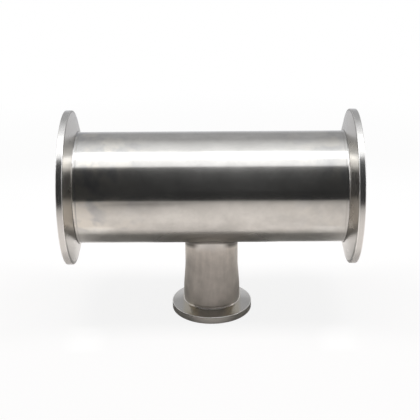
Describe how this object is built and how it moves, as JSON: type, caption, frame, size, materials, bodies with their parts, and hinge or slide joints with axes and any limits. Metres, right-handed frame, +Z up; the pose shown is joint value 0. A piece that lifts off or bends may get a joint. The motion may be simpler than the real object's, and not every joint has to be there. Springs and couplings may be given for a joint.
{
  "type": "vacuum tee",
  "caption": "Reducing vacuum tee: a straight run tube with a large clamp flange at each end and a smaller flanged branch leaving its middle.",
  "frame": {"origin": "centre of the branch's sealing face, which the tee stands on", "axes": "+Z up the branch's axis to the run, +X along the run's axis, +Y square to both, towards the back"},
  "size_m": [0.14, 0.075, 0.1025],
  "materials": {
    "polished_tube": "fine polish with lengthwise sheen",
    "turned_flange": "turned and polished",
    "satin_stub": "satin",
    "dressed_weld": "dressed weld metal"
  },
  "bodies": {
    "root": {"run_tube": "polished_tube", "left_run_flange": "turned_flange", "right_run_flange": "turned_flange", "branch_stub": "satin_stub", "left_flange_weld": "dressed_weld", "right_flange_weld": "dressed_weld", "branch_weld": "dressed_weld"}
  },
  "joints": []
}
